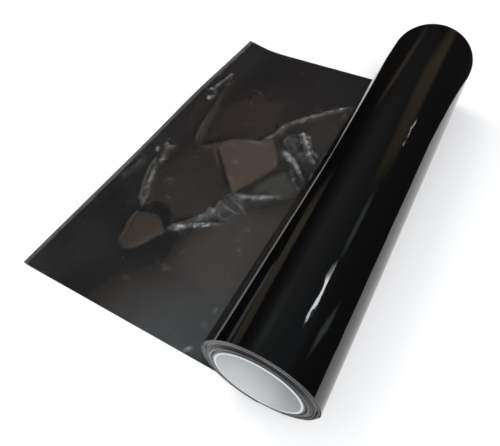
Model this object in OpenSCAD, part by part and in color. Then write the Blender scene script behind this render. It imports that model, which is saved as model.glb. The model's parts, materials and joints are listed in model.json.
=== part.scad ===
// A part-used roll of self-adhesive sign vinyl, lying on a flat surface with its end run out.
// The web is wound film outwards, so its tail lies film down with the release liner on top.
// Origin: on the roll's axis, half way along the core's bore. +Y runs along the axis, +Z is up,
// and the tail runs out towards -X. The end of the roll on the -Y side is called its near end.

/* [Core] */
// Bore of the core
core_bore_d = 76.2; // [50:0.1:76.2]
// Wall thickness of the core
core_wall = 2.2; // [1:0.1:3.5]
// Chamfer on the core's end edges
core_chamfer = 0.3; // [0.1:0.05:0.45]
// How much longer the core is than the web is wide
core_overhang = 3; // [3:0.5:15]

/* [Web] */
// Width of the web
web_w = 508; // [250:1:1600]
// Thickness of the vinyl film
film_t = 0.16; // [0.08:0.01:0.22]
// Thickness of the adhesive coat
adhesive_t = 0.04; // [0.02:0.01:0.06]
// Thickness of the release liner
liner_t = 0.12; // [0.08:0.01:0.18]

/* [Winding] */
// Outside diameter of the roll
roll_d = 108; // [105:0.5:180]
// Air gap under the last turn where it passes over the start of the tail
last_gap = 0.08; // [0.05:0.01:0.3]
// Number of loose turns under the last one
loose_turns = 4; // [1:1:6]
// Air gap between the loose turns
loose_gap = 0.3; // [0.1:0.05:0.4]
// Relative thickness of the bands of tight turns, from the core outwards
band_share = [5, 2, 6, 3, 4, 3];
// Set-back of each band's near edge from the near end of the core
band_setback = [0.6, 1.1, 0.8, 1.5, 2.1, 1.8];
// Set-back of the loose turns
loose_setback = 2.6; // [0.5:0.1:3]
// Set-back of the last turn
last_setback = 2.3; // [0.5:0.1:3]

/* [Start of the web] */
// Width of the strip of tape that holds the web's inner end to the core
tape_w = 25; // [12:1:50]
// Thickness of that tape
tape_t = 0.12; // [0.05:0.01:0.2]

/* [Tail] */
// Length of the tail, from straight below the axis to its free edge
tail_l = 301; // [200:1:900]
// Set-back of the tail's near edge from the near end of the core
tail_setback = 8; // [3:0.5:15]
// Distance from the axis to the line that the tail lifts on
lift_x = 75; // [60:1:110]
// Length of the strip of liner that peels back from the free edge
peel_l = 50; // [20:1:80]
// Radius that this strip and the film under it curl up on
curl_r = 300; // [150:10:2000]

/* [Clearances] */
// Clearance all round between the turning roll and its last turn
turn_clear = 0.35; // [0.3:0.05:1]
// Gap between curved pieces that are wound on each other
wind_gap = 0.05; // [0.02:0.01:0.1]
// Room beside the start tape, in the recess that the first band leaves for it
tape_gap = 0.7; // [0.3:0.1:2]
// Gap between two stretches of the web at a bending line
split_gap = 0.2; // [0.1:0.05:0.5]
// Gap between the strip of liner that peels and the adhesive under it
peel_gap = 0.05; // [0.02:0.01:0.1]

/* [Hidden] */
$fn = 180;
core_r = core_bore_d / 2;
core_outer_r = core_r + core_wall;
core_l = web_w + core_overhang;
near_y = -core_l / 2;
web_t = film_t + adhesive_t + liner_t;
roll_r = roll_d / 2;
last_pitch = web_t + last_gap;
loose_pitch = web_t + loose_gap;
loose_r = roll_r - last_pitch - web_t - turn_clear;
band_count = len(band_share);
band_inner_r = core_outer_r + wind_gap;
band_outer_r = loose_r - loose_turns * loose_pitch - web_t - wind_gap;
band_build = band_outer_r - band_inner_r;
tape_a = tape_w / core_outer_r * 180 / PI;
recess_a = (tape_w + 2 * tape_gap) / core_outer_r * 180 / PI;
cut_over = 1;
drift_l = tail_setback - last_setback;
flat_l = tail_l - peel_l;
curl_a = peel_l / curl_r * 180 / PI;
curl_steps = 12;

// Sum of the first n relative band thicknesses
function share_sum(n) = n == 0 ? 0 : band_share[n - 1] + share_sum(n - 1);

// Inner radius of band i, counted from 0 at the core
function band_r(i) = band_inner_r + band_build * share_sum(i) / share_sum(band_count);

// A strip of web bent round the Y axis. Angles start straight down, pass +X, and go over the top.
module arc_strip(start_a, sweep_a, outer_r, t, y, width) {
    rotate([-90, 0, 0])
        rotate([0, 0, 90 - start_a - sweep_a])
            rotate_extrude(angle = sweep_a)
                translate([outer_r - t, y])
                    square([t, width]);
}

// What the web fills seen from the side. It is straight over the axis, and below the axis it runs
// across to the tail's set-back.
module drift_prism() {
    y = near_y + last_setback;
    side = 2 * roll_r;
    shift = drift_l * side / roll_r;
    rotate([90, 0, 90])
        linear_extrude(height = 2 * (roll_r + lift_x), center = true)
            polygon([
                [y, side], [y, 0], [y + shift, -side],
                [y + web_w + shift, -side], [y + web_w, 0], [y + web_w, side],
            ]);
}

// One layer of the last turn. It starts at depth under the web's outer face and is t thick.
module outer_turn_layer(depth, t) {
    r = roll_r - depth;
    y = near_y + last_setback;
    intersection() {
        union() {
            arc_strip(0, 180, r, t, y, web_w + drift_l);
            translate([split_gap / 2 - lift_x, y, -r])
                cube([lift_x - split_gap / 2, web_w + drift_l, t]);
        }
        drift_prism();
    }
    translate([0, 0, last_pitch / 2])
        arc_strip(180, 180, r - last_pitch / 2, t, y, web_w);
}

// The flat stretch of one layer of the tail
module tail_flat(depth, t, end_gap) {
    translate([end_gap - flat_l, near_y + tail_setback, depth - roll_r])
        cube([flat_l - lift_x - split_gap / 2 - end_gap, web_w, t]);
}

// Points along the curl of the free edge at depth under the web's outer face, as [x, z]
function curl_points(depth, start_a) = [
    for (i = [0 : curl_steps])
        let (a = start_a + (curl_a - start_a) * i / curl_steps)
            [-flat_l - (curl_r - depth) * sin(a), curl_r - roll_r - (curl_r - depth) * cos(a)]
];

// Reverses the order of a list
function backwards(list) = [for (i = [len(list) - 1 : -1 : 0]) list[i]];

// The curled stretch of one layer of the tail, made of narrow flat strips so that thin layers
// stay in step with each other
module tail_curl(depth, t, start_gap) {
    gap_a = start_gap / curl_r * 180 / PI;
    translate([0, near_y + tail_setback + web_w, 0])
        rotate([90, 0, 0])
            linear_extrude(height = web_w)
                polygon(concat(
                    curl_points(depth, gap_a),
                    backwards(curl_points(depth + t, gap_a))
                ));
}

// A tube round the Y axis
module tube_y(inner_r, outer_r, y, length) {
    rotate([-90, 0, 0])
        rotate_extrude()
            translate([inner_r, y])
                square([outer_r - inner_r, length]);
}

module core_tube() {
    c = core_chamfer;
    color("gainsboro")
        rotate([-90, 0, 0])
            rotate_extrude()
                polygon([
                    [core_r, near_y + c], [core_r + c, near_y],
                    [core_outer_r - c, near_y], [core_outer_r, near_y + c],
                    [core_outer_r, -near_y - c], [core_outer_r - c, -near_y],
                    [core_r + c, -near_y], [core_r, -near_y - c],
                ]);
}

module start_tape() {
    color("wheat")
        arc_strip(-tape_a / 2, tape_a, core_outer_r + wind_gap / 2 + tape_t, tape_t,
            near_y + band_setback[0], web_w);
}

// Band i of tight turns, counted from 0 at the core. The first one is wound over the tape, so its
// recess is cut through it from end to end, cut_over past each.
module wound_band(i) {
    y = near_y + band_setback[i];
    color([0.36, 0.36, 0.37])
        difference() {
            tube_y(band_r(i), band_r(i + 1) - (i < band_count - 1 ? wind_gap : 0), y, web_w);
            if (i == 0)
                arc_strip(-recess_a / 2, recess_a, band_inner_r + tape_t + wind_gap,
                    tape_t + 2 * wind_gap, y - cut_over, web_w + 2 * cut_over);
        }
}

// A spiral made of half turns on two centres, half a pitch apart
module loose_turns_web() {
    y = near_y + loose_setback;
    color([0.16, 0.16, 0.17])
        for (i = [0 : loose_turns - 1]) {
            r = loose_r - i * loose_pitch;
            arc_strip(0, 180, r, web_t, y, web_w);
            translate([0, 0, loose_pitch / 2])
                arc_strip(180, 180, r - loose_pitch / 2, web_t, y, web_w);
        }
}

module outer_turn_film() {
    color([0.04, 0.04, 0.05])
        outer_turn_layer(0, film_t);
}

module outer_turn_adhesive() {
    color([0.8, 0.8, 0.72])
        outer_turn_layer(film_t, adhesive_t);
}

module outer_turn_liner() {
    color([0.7, 0.73, 0.75])
        outer_turn_layer(film_t + adhesive_t, liner_t);
}

module tail_film() {
    color([0.04, 0.04, 0.05]) {
        tail_flat(0, film_t, 0);
        tail_curl(0, film_t, 0);
    }
}

module tail_adhesive() {
    color([0.8, 0.8, 0.72]) {
        tail_flat(film_t, adhesive_t, 0);
        tail_curl(film_t, adhesive_t, 0);
    }
}

module tail_liner() {
    color([0.7, 0.73, 0.75])
        tail_flat(film_t + adhesive_t, liner_t, split_gap / 2);
}

module liner_edge() {
    color([0.7, 0.73, 0.75])
        tail_curl(film_t + adhesive_t + peel_gap, liner_t, split_gap / 2);
}

core_tube();
start_tape();
wound_band(0);  // wound_band_1
wound_band(1);  // wound_band_2
wound_band(2);  // wound_band_3
wound_band(3);  // wound_band_4
wound_band(4);  // wound_band_5
wound_band(5);  // wound_band_6
loose_turns_web();
outer_turn_film();
outer_turn_adhesive();
outer_turn_liner();
tail_film();
tail_adhesive();
tail_liner();
liner_edge();
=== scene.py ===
import json
from math import atan2, cos, degrees, exp, hypot, pi, radians, sin

import bmesh
import bpy
from mathutils import Euler, Matrix, Vector, noise
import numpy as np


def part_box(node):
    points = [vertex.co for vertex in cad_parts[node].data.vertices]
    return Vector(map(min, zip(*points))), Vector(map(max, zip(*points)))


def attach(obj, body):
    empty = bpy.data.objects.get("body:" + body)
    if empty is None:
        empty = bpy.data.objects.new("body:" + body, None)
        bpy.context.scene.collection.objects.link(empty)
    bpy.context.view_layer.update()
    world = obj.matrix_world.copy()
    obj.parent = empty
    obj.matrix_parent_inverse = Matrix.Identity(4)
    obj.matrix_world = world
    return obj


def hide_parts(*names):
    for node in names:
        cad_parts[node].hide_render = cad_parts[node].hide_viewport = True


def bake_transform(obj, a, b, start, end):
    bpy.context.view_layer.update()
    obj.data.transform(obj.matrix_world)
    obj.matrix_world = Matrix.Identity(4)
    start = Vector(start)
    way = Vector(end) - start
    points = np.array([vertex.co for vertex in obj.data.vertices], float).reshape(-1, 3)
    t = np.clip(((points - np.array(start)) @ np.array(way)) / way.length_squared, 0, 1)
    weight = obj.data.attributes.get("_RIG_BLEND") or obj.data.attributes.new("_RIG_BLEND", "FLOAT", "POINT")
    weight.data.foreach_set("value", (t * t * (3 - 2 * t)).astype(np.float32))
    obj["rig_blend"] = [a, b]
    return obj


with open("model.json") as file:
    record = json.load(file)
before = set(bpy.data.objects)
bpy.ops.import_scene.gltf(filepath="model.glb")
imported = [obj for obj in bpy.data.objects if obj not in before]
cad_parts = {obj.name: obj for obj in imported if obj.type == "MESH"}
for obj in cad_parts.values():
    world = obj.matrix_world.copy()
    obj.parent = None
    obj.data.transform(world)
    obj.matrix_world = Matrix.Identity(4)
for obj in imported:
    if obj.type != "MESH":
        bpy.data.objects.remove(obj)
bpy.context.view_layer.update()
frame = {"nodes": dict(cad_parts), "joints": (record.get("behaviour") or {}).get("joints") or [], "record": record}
print("frame loaded")

mm = 0.001
joints = {j["name"]: j for j in frame["joints"]}
coreLow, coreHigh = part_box("core_tube")
turnLow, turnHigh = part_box("outer_turn_film")
tailLow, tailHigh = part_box("tail_film")
linerLow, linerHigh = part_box("tail_liner")
looseLow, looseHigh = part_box("loose_turns_web")
rollRadius = turnHigh.z
tableZ = turnLow.z
webWidth = tailHigh.y - tailLow.y
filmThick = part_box("outer_turn_adhesive")[0].z - tableZ
adhesiveThick = linerLow.z - tableZ - filmThick
linerThick = linerHigh.z - linerLow.z
webThick = filmThick + adhesiveThick + linerThick
liftX = joints["tail_lift"]["pos_m"][0]
peelX = joints["liner_peel"]["pos_m"][0]


def newMaterial(name, baseColor, roughness, **sockets):
    material = bpy.data.materials.new(name)
    material.use_nodes = True
    shader = material.node_tree.nodes["Principled BSDF"]
    shader.inputs["Base Color"].default_value = (*baseColor, 1)
    shader.inputs["Roughness"].default_value = roughness
    for socket, value in sockets.items():
        shader.inputs[socket].default_value = value
    return material, shader


def addNode(material, kind, **values):
    node = material.node_tree.nodes.new(kind)
    for key, value in values.items():
        if key in node.inputs:
            node.inputs[key].default_value = value
        else:
            setattr(node, key, value)
    return node


def join(material, output, target):
    material.node_tree.links.new(output, target)


def objectCoords(material, scale=(1, 1, 1)):
    coords = addNode(material, "ShaderNodeTexCoord")
    mapping = addNode(material, "ShaderNodeMapping", Scale=scale)
    join(material, coords.outputs["Object"], mapping.inputs["Vector"])
    return mapping.outputs["Vector"]


def noiseNode(material, coords, scale, detail=2, roughness=0.5):
    node = addNode(material, "ShaderNodeTexNoise", Scale=scale, Detail=detail, Roughness=roughness)
    join(material, coords, node.inputs["Vector"])
    return node.outputs["Fac"]


def spread(material, value, low, high, fromLow=0.3, fromHigh=0.7):
    node = addNode(material, "ShaderNodeMapRange")
    node.inputs["From Min"].default_value = fromLow
    node.inputs["From Max"].default_value = fromHigh
    node.inputs["To Min"].default_value = low
    node.inputs["To Max"].default_value = high
    join(material, value, node.inputs["Value"])
    return node.outputs["Result"]


def mixColors(material, share, low, high):
    node = addNode(material, "ShaderNodeMix", data_type="RGBA")
    join(material, share, node.inputs["Factor"])
    node.inputs["A"].default_value = (*low, 1)
    node.inputs["B"].default_value = (*high, 1)
    return node.outputs["Result"]


def product(material, first, second):
    node = addNode(material, "ShaderNodeMath", operation="MULTIPLY")
    join(material, first, node.inputs[0])
    join(material, second, node.inputs[1])
    return node.outputs["Value"]


def bumpFrom(material, height, distance, onto=None):
    node = addNode(material, "ShaderNodeBump", Strength=1.0, Distance=distance)
    join(material, height, node.inputs["Height"])
    if onto is not None:
        join(material, onto, node.inputs["Normal"])
    return node.outputs["Normal"]


filmLook = {
    "color": (0.0022, 0.0021, 0.0023),
    "smooth": 0.02,
    "scuffed": 0.07,
    "peel": 0.0004 * mm,
    "drawLines": 0.035 * mm,     # soft lines across the web, from winding
    "crinkle": 0.03 * mm,        # small creases, in patches
    # each noise's scale, detail and roughness, and how it is stretched along x, y and z
    "scuffNoise": (3, 4, 0.6),
    "scuffStretch": (60, 8, 60),
    "peelNoise": (420, 1),
    "lineNoise": (1, 3, 0.55),
    "lineStretch": (230, 11, 230),
    "patchNoise": (13, 1),
    "patchRange": (0, 1, 0.6, 0.7),
    "crinkleNoise": (260, 3),
    "crinkleStretch": (1, 0.6, 1),
}


def makeFilmMaterial():
    material, shader = newMaterial("blackFilm", filmLook["color"], filmLook["smooth"], IOR=1.5)
    scuffs = noiseNode(material, objectCoords(material, filmLook["scuffStretch"]), *filmLook["scuffNoise"])
    scuffed = spread(material, scuffs, filmLook["smooth"], filmLook["scuffed"])
    join(material, scuffed, shader.inputs["Roughness"])
    coords = objectCoords(material)
    peel = bumpFrom(material, noiseNode(material, coords, *filmLook["peelNoise"]), filmLook["peel"])
    lines = noiseNode(material, objectCoords(material, filmLook["lineStretch"]), *filmLook["lineNoise"])
    lined = bumpFrom(material, lines, filmLook["drawLines"], peel)
    patch = spread(material, noiseNode(material, coords, *filmLook["patchNoise"]), *filmLook["patchRange"])
    creases = noiseNode(material, objectCoords(material, filmLook["crinkleStretch"]),
                        *filmLook["crinkleNoise"])
    crinkle = product(material, patch, creases)
    join(material, bumpFrom(material, crinkle, filmLook["crinkle"], lined), shader.inputs["Normal"])
    return material


linerLook = {
    "color": (0.9, 0.9, 0.92),
    "haze": 0.003,
    "frostAndGlint": 0.34,               # haze where it is creased, partly a painted highlight
    "facet": 0.5 * mm,           # small facets where it is creased
    "clear": 0.03,
    "cloudy": 0.09,
    "cockle": 0.03 * mm,
    "flakeNoise": (260, 3, 0.7),     # breaks the haze up
    "flakeStretch": (1, 0.7, 1),
    "flakeRange": (0.15, 1.7, 0.4, 0.64),
    "cloudNoise": (9, 3),
    "cockleNoise": (70, 2),
    "facetNoise": (330, 2, 0.6),
}


def makeLinerMaterial():
    material, shader = newMaterial("clearLiner", linerLook["color"], linerLook["clear"], IOR=1.5)
    coords = objectCoords(material)
    # how white the liner is where it is creased: partly real haze, partly a painted highlight on the folds
    frostedAndGlinting = addNode(material, "ShaderNodeAttribute", attribute_name="frostedAndGlinting")
    flakes = noiseNode(material, objectCoords(material, linerLook["flakeStretch"]), *linerLook["flakeNoise"])
    broken = product(material, frostedAndGlinting.outputs["Fac"], spread(material, flakes, *linerLook["flakeRange"]))
    clearness = spread(material, broken, 1 - linerLook["haze"], 1 - linerLook["frostAndGlint"], 0, 1)
    join(material, clearness, shader.inputs["Transmission Weight"])
    cloud = noiseNode(material, coords, *linerLook["cloudNoise"])
    join(material, spread(material, cloud, linerLook["clear"], linerLook["cloudy"]),
         shader.inputs["Roughness"])
    cockle = bumpFrom(material, noiseNode(material, coords, *linerLook["cockleNoise"]), linerLook["cockle"])
    facets = product(material, frostedAndGlinting.outputs["Fac"], noiseNode(material, coords, *linerLook["facetNoise"]))
    join(material, bumpFrom(material, facets, linerLook["facet"], cockle), shader.inputs["Normal"])
    return material


adhesiveLook = {
    "wetted": (0.003, 0.003, 0.0032),    # where the liner lies on it
    "open": (0.122, 0.086, 0.0585),      # painted reflection of the room, where there is air between them
    # a cooler painted reflection of the room
    "coolReflectionTone": (0.085, 0.098, 0.096),
    "glossy": 0.12,
    "dull": 0.3,
    "mottleNoise": (55, 4, 0.6),
    "mottleRange": (0.82, 1.08),
    "ripple": 0.004 * mm,
    "rippleNoise": (220, 2),
}


def makeAdhesiveMaterial():
    material, shader = newMaterial("adhesiveCoat", adhesiveLook["wetted"], adhesiveLook["glossy"], IOR=1.47)
    coords = objectCoords(material)
    # painted reflection: the adhesive is drawn paler where the liner stands off, and in a cooler tone in places
    paintedReflection = addNode(material, "ShaderNodeAttribute", attribute_name="paintedReflection")
    mottle = noiseNode(material, coords, *adhesiveLook["mottleNoise"])
    share = product(material, paintedReflection.outputs["Fac"], spread(material, mottle, *adhesiveLook["mottleRange"]))
    paintedReflectionCool = addNode(material, "ShaderNodeAttribute", attribute_name="paintedReflectionCool")
    reflectionTone = mixColors(material, paintedReflectionCool.outputs["Fac"], adhesiveLook["open"], adhesiveLook["coolReflectionTone"])
    tone = addNode(material, "ShaderNodeMix", data_type="RGBA")
    tone.inputs["A"].default_value = (*adhesiveLook["wetted"], 1)
    join(material, share, tone.inputs["Factor"])
    join(material, reflectionTone, tone.inputs["B"])
    join(material, tone.outputs["Result"], shader.inputs["Base Color"])
    join(material, spread(material, mottle, adhesiveLook["glossy"], adhesiveLook["dull"]),
         shader.inputs["Roughness"])
    ripple = noiseNode(material, coords, *adhesiveLook["rippleNoise"])
    join(material, bumpFrom(material, ripple, adhesiveLook["ripple"]), shader.inputs["Normal"])
    return material


woundLook = {
    "filmEdge": (0.012, 0.012, 0.013),
    "shadow": (0, 0, 0),
    "roughness": 0.4,
    "linerShare": 0.42,
    "blur": 0.14,
    "shadedSide": 0.4,              # painted shade: how dark the side towards +X is drawn
    "patchNoise": (45, 3, 0.6),
    "patchStretch": (1, 0.2, 1),
    "patchRange": (0.6, 1),
}


def makeWoundMaterial(name, linerEdge):
    # the cut edges of film and liner, turn by turn
    material, shader = newMaterial(name, linerEdge, woundLook["roughness"])
    split = addNode(material, "ShaderNodeSeparateXYZ")
    join(material, objectCoords(material), split.inputs["Vector"])
    flat = addNode(material, "ShaderNodeCombineXYZ")
    join(material, split.outputs["X"], flat.inputs["X"])
    join(material, split.outputs["Z"], flat.inputs["Z"])
    radius = addNode(material, "ShaderNodeVectorMath", operation="LENGTH")
    join(material, flat.outputs["Vector"], radius.inputs[0])
    turns = addNode(material, "ShaderNodeMath", operation="DIVIDE")
    join(material, radius.outputs["Value"], turns.inputs[0])
    turns.inputs[1].default_value = webThick
    phase = addNode(material, "ShaderNodeMath", operation="FRACT")
    join(material, turns.outputs["Value"], phase.inputs[0])
    stripe = spread(material, phase.outputs["Value"], 0, 1, woundLook["linerShare"],
                    woundLook["linerShare"] + woundLook["blur"])
    patchy = noiseNode(material, objectCoords(material, woundLook["patchStretch"]), *woundLook["patchNoise"])
    # lighter patches of dust, and painted shade that darkens the side towards +X
    side = spread(material, split.outputs["X"], woundLook["shadedSide"], 1, coreHigh.x, -coreHigh.x)
    dustAndShade = product(material, spread(material, patchy, *woundLook["patchRange"]), side)
    dustyAndShaded = mixColors(material, dustAndShade, woundLook["shadow"], linerEdge)
    tone = addNode(material, "ShaderNodeMix", data_type="RGBA")
    join(material, stripe, tone.inputs["Factor"])
    join(material, dustyAndShaded, tone.inputs["A"])
    tone.inputs["B"].default_value = (*woundLook["filmEdge"], 1)
    join(material, tone.outputs["Result"], shader.inputs["Base Color"])
    return material


coreLook = {
    "color": (0.57, 0.59, 0.595),
    "shade": (0.5, 0.52, 0.53),
    "roughness": 0.42,
    "mottleNoise": (18, 3),
    "drawn": 0.02 * mm,          # lines along the tube
    "drawnNoise": (900, 2),
    "drawnStretch": (1, 0.03, 1),
}


def makeCoreMaterial():
    material, shader = newMaterial("corePlastic", coreLook["color"], coreLook["roughness"])
    mottle = noiseNode(material, objectCoords(material), *coreLook["mottleNoise"])
    tone = mixColors(material, spread(material, mottle, 0, 1), coreLook["shade"], coreLook["color"])
    join(material, tone, shader.inputs["Base Color"])
    drawn = noiseNode(material, objectCoords(material, coreLook["drawnStretch"]), *coreLook["drawnNoise"])
    join(material, bumpFrom(material, drawn, coreLook["drawn"]), shader.inputs["Normal"])
    return material


tapeLook = {
    "color": (0.62, 0.52, 0.34),
    "roughness": 0.6,
    "crepe": 0.03 * mm,
    "crepeNoise": (300, 2),
    "crepeStretch": (1, 6, 1),
    "crepeRange": (0.5, 0.7),
}


def makeTapeMaterial():
    material, shader = newMaterial("startTape", tapeLook["color"], tapeLook["roughness"])
    crepe = noiseNode(material, objectCoords(material, tapeLook["crepeStretch"]), *tapeLook["crepeNoise"])
    join(material, bumpFrom(material, crepe, tapeLook["crepe"]), shader.inputs["Normal"])
    join(material, spread(material, crepe, *tapeLook["crepeRange"]), shader.inputs["Roughness"])
    return material


blackFilm = makeFilmMaterial()
clearLiner = makeLinerMaterial()
adhesiveCoat = makeAdhesiveMaterial()
corePlastic = makeCoreMaterial()
startTape = makeTapeMaterial()
print("materials made")


def finishPiece(name, bm, material):
    mesh = bpy.data.meshes.new(name)
    bm.to_mesh(mesh)
    bm.free()
    piece = bpy.data.objects.new(name, mesh)
    bpy.context.scene.collection.objects.link(piece)
    mesh.materials.append(material)
    mesh.shade_smooth()
    return piece


def onlyVerts(geom):
    return [g for g in geom if isinstance(g, bmesh.types.BMVert)]


def onlyEdges(geom):
    return [g for g in geom if isinstance(g, bmesh.types.BMEdge)]


def smoothStep(low, high, value):
    t = min(max((value - low) / (high - low), 0), 1)
    return t * t * (3 - 2 * t)


# The web, from the end of the last turn to the free edge. "Along" is the distance on the web from
# that end, and the tail lies from x = 0 out to -X.
web = {
    "filmGrid": {"cuts": 199, "turnSteps": 160, "tailStep": 5 * mm, "curlSteps": 12},
    "linerGrid": {"cuts": 207, "turnSteps": 80, "tailStep": 2 * mm, "curlSteps": 25},
    "lastPitch": 0.4 * mm,       # rise of the last turn in one lap
    "curlRadius": 300 * mm,      # curl of the free edge
    "curlLength": 50 * mm,
    "farCornerLift": 5.2 * mm,   # how much more the far corner curls than the edge does
    "nearCornerFlat": 0.45,      # share of its curl that the near corner loses
    "edgeTrim": (2.0 * mm, 2.6 * mm, 7.0 * mm),   # the free edge isn't cut square: near, middle, far
    "edgeStretch": 95 * mm,      # how far from the free edge its corners and its cut begin to tell
    # where across the web each of these begins and is full, from 0 at the near edge to 1
    "farCorner": (0.35, 1.0),
    "nearCorner": (0.5, 0.0),
    "trimMiddle": (0, 0.5),
    "trimFar": (0.62, 1.02),
    "bendReach": 44 * mm,        # how far past the lift line the web bends
    "crispAngle": radians(50),
}
halfTurn = pi * (rollRadius - web["lastPitch"] / 2)
turnLength = halfTurn + pi * rollRadius
flatLength = -peelX
tailLength = flatLength + web["curlLength"]


def growRow(bm, edges, along, step, move):
    grown = bmesh.ops.extrude_edge_only(bm, edges=edges)["geom"]
    verts = onlyVerts(grown)
    move(verts)
    for vert in verts:
        vert[along] += step
    rim = set(verts)
    return [e for e in onlyEdges(grown) if e.verts[0] in rim and e.verts[1] in rim]


def growWeb(cuts, turnSteps, tailStep, curlSteps):
    # the web's outer face, one row of edges after another
    bm = bmesh.new()
    along = bm.verts.layers.float.new("along")
    startZ = web["lastPitch"] - rollRadius
    ends = [bm.verts.new((0, turnLow.y, startZ)), bm.verts.new((0, turnLow.y + webWidth, startZ))]
    bmesh.ops.subdivide_edges(bm, edges=[bm.edges.new(ends)], cuts=cuts)
    edges = list(bm.edges)

    def bendAbout(centre, angle):
        turning = Matrix.Rotation(angle, 3, "Y")
        return lambda verts: bmesh.ops.rotate(bm, verts=verts, cent=centre, matrix=turning)

    def slideBy(step):
        return lambda verts: bmesh.ops.translate(bm, verts=verts, vec=(-step, 0, 0))

    for half, centreZ in ((halfTurn, web["lastPitch"] / 2), (pi * rollRadius, 0)):
        rows = turnSteps // 2
        for _ in range(rows):
            edges = growRow(bm, edges, along, half / rows, bendAbout((0, 0, centreZ), pi / rows))
    rows = round(flatLength / tailStep)
    for _ in range(rows):
        edges = growRow(bm, edges, along, flatLength / rows, slideBy(flatLength / rows))
    curlStep = web["curlLength"] / curlSteps
    curlBend = bendAbout((peelX, 0, tableZ + web["curlRadius"]), curlStep / web["curlRadius"])
    for _ in range(curlSteps):
        edges = growRow(bm, edges, along, curlStep, curlBend)
    return bm


def inwardOf(s, vert):
    # the direction from the film towards the liner
    if s < halfTurn:
        return Vector((-vert.co.x, 0, web["lastPitch"] / 2 - vert.co.z)).normalized()
    if s < turnLength:
        return Vector((-vert.co.x, 0, -vert.co.z)).normalized()
    if s < turnLength + flatLength:
        return Vector((0, 0, 1))
    angle = (s - turnLength - flatLength) / web["curlRadius"]
    return Vector((sin(angle), 0, cos(angle)))


def webDrift(s):
    # over its last quarter the last turn runs across to the tail's set-back
    quarter = turnLength - pi * rollRadius / 2
    angle = min(max(s - quarter, 0) / rollRadius, pi / 2)
    return (tailLow.y - turnLow.y) * sin(angle)


def cornerCurl(s, y):
    # the far corner curls more than the edge does, and the near corner less
    out = s - turnLength
    if out < tailLength - web["edgeStretch"]:
        return 0
    u = (y - tailLow.y) / webWidth
    toEdge = smoothStep(tailLength - web["edgeStretch"], tailLength, out)
    curled = max(out - flatLength, 0)
    ownCurl = web["curlRadius"] * (1 - cos(curled / web["curlRadius"]))
    rise = web["farCornerLift"] * smoothStep(*web["farCorner"], u) * toEdge * toEdge
    return rise - web["nearCornerFlat"] * smoothStep(*web["nearCorner"], u) * ownCurl


def edgeTrim(s, y):
    # how far the last stretch is drawn in towards the roll, because the free edge runs askew
    u = (y - tailLow.y) / webWidth
    toEdge = smoothStep(tailLength - web["edgeStretch"], tailLength, s - turnLength)
    near, middle, far = web["edgeTrim"]
    return toEdge * (near + middle * smoothStep(*web["trimMiddle"], u) + far * smoothStep(*web["trimFar"], u))


# The last turn isn't quite round: long soft waves, and a few small dents on its upper side.
# A dent is at degrees from +X over the top, mm along the axis, then its half-lengths in mm.
turnShape = {
    "waves": 0.09 * mm,
    "waveAround": 16,
    "waveAlong": 5,
    "ripple": 0.022 * mm,
    "rippleAround": 60,
    "rippleAlong": 34,
    "rippleShift": 9,
    "startFade": 60 * mm,        # no unevenness at either end of the turn
    "endFade": 40 * mm,
    "dentReach": 9,              # square of the half-lengths past which a dent is left out
    "dents": [
        {"at": (108, 43), "size": (3.2, 9), "depth": 0.16},
        {"at": (106, -2), "size": (2.6, 7), "depth": 0.13},
        {"at": (63, 44), "size": (3.0, 6), "depth": 0.14},
        {"at": (64, 19), "size": (2.4, 8), "depth": 0.12},
        {"at": (71, -160), "size": (3.4, 12), "depth": 0.14},
        {"at": (74, -182), "size": (2.8, 9), "depth": 0.12},
        {"at": (69, -204), "size": (3.2, 10), "depth": 0.13},
        {"at": (78, -146), "size": (2.6, 7), "depth": 0.10},
        {"at": (88, 120), "size": (3.0, 8), "depth": 0.10},
        {"at": (96, -110), "size": (2.8, 12), "depth": 0.09},
    ],
}


def turnDepth(vert, s):
    x, y, z = vert.co
    ends = smoothStep(0, turnShape["startFade"], s) * smoothStep(0, turnShape["endFade"], turnLength - s)
    rise = turnShape["waves"] * noise.noise((x * turnShape["waveAround"], y * turnShape["waveAlong"],
                                             z * turnShape["waveAround"]))
    rise += turnShape["ripple"] * noise.noise((x * turnShape["rippleAround"], y * turnShape["rippleAlong"],
                                               z * turnShape["rippleAround"] + turnShape["rippleShift"]))
    angle = degrees(atan2(z, x))
    for dent in turnShape["dents"]:
        around = radians(angle - dent["at"][0]) * rollRadius / mm / dent["size"][0]
        across = (y / mm - dent["at"][1]) / dent["size"][1]
        reach = around * around + across * across
        if reach < turnShape["dentReach"]:
            rise += dent["depth"] * mm * exp(-reach)
    return rise * ends


def shapeWeb(bm, depth, lift=None):
    # moves the web's face depth inwards, and gives it its drift, curl and unevenness
    along = bm.verts.layers.float["along"]
    for vert in bm.verts:
        s = vert[along]
        inward = inwardOf(s, vert)
        rise = depth
        if s < turnLength:
            rise += turnDepth(vert, s)
        vert.co.y += webDrift(s)
        rise += cornerCurl(s, vert.co.y)
        vert.co.x += edgeTrim(s, vert.co.y)
        if lift is not None:
            rise += vert[lift]
        vert.co += inward * rise


def addThickness(piece, thickness):
    # grows the wall from the layer's outer face towards the core, and keeps its cut edges crisp
    solid = piece.modifiers.new("thickness", "SOLIDIFY")
    solid.thickness = thickness
    solid.offset = -1
    sheetMesh = piece.data
    piece.data = bpy.data.meshes.new_from_object(piece.evaluated_get(bpy.context.evaluated_depsgraph_get()))
    piece.data.name = piece.name
    piece.data.set_sharp_from_angle(angle=web["crispAngle"])
    piece.modifiers.clear()
    bpy.data.meshes.remove(sheetMesh)


def faceOutwards(bm):
    # the web's outer face looks away from the roll's axis, which is down on the tail
    bm.normal_update()
    lowest = min(bm.faces, key=lambda f: f.calc_center_median().z)
    if lowest.normal.z > 0:
        bmesh.ops.reverse_faces(bm, faces=list(bm.faces))


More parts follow.
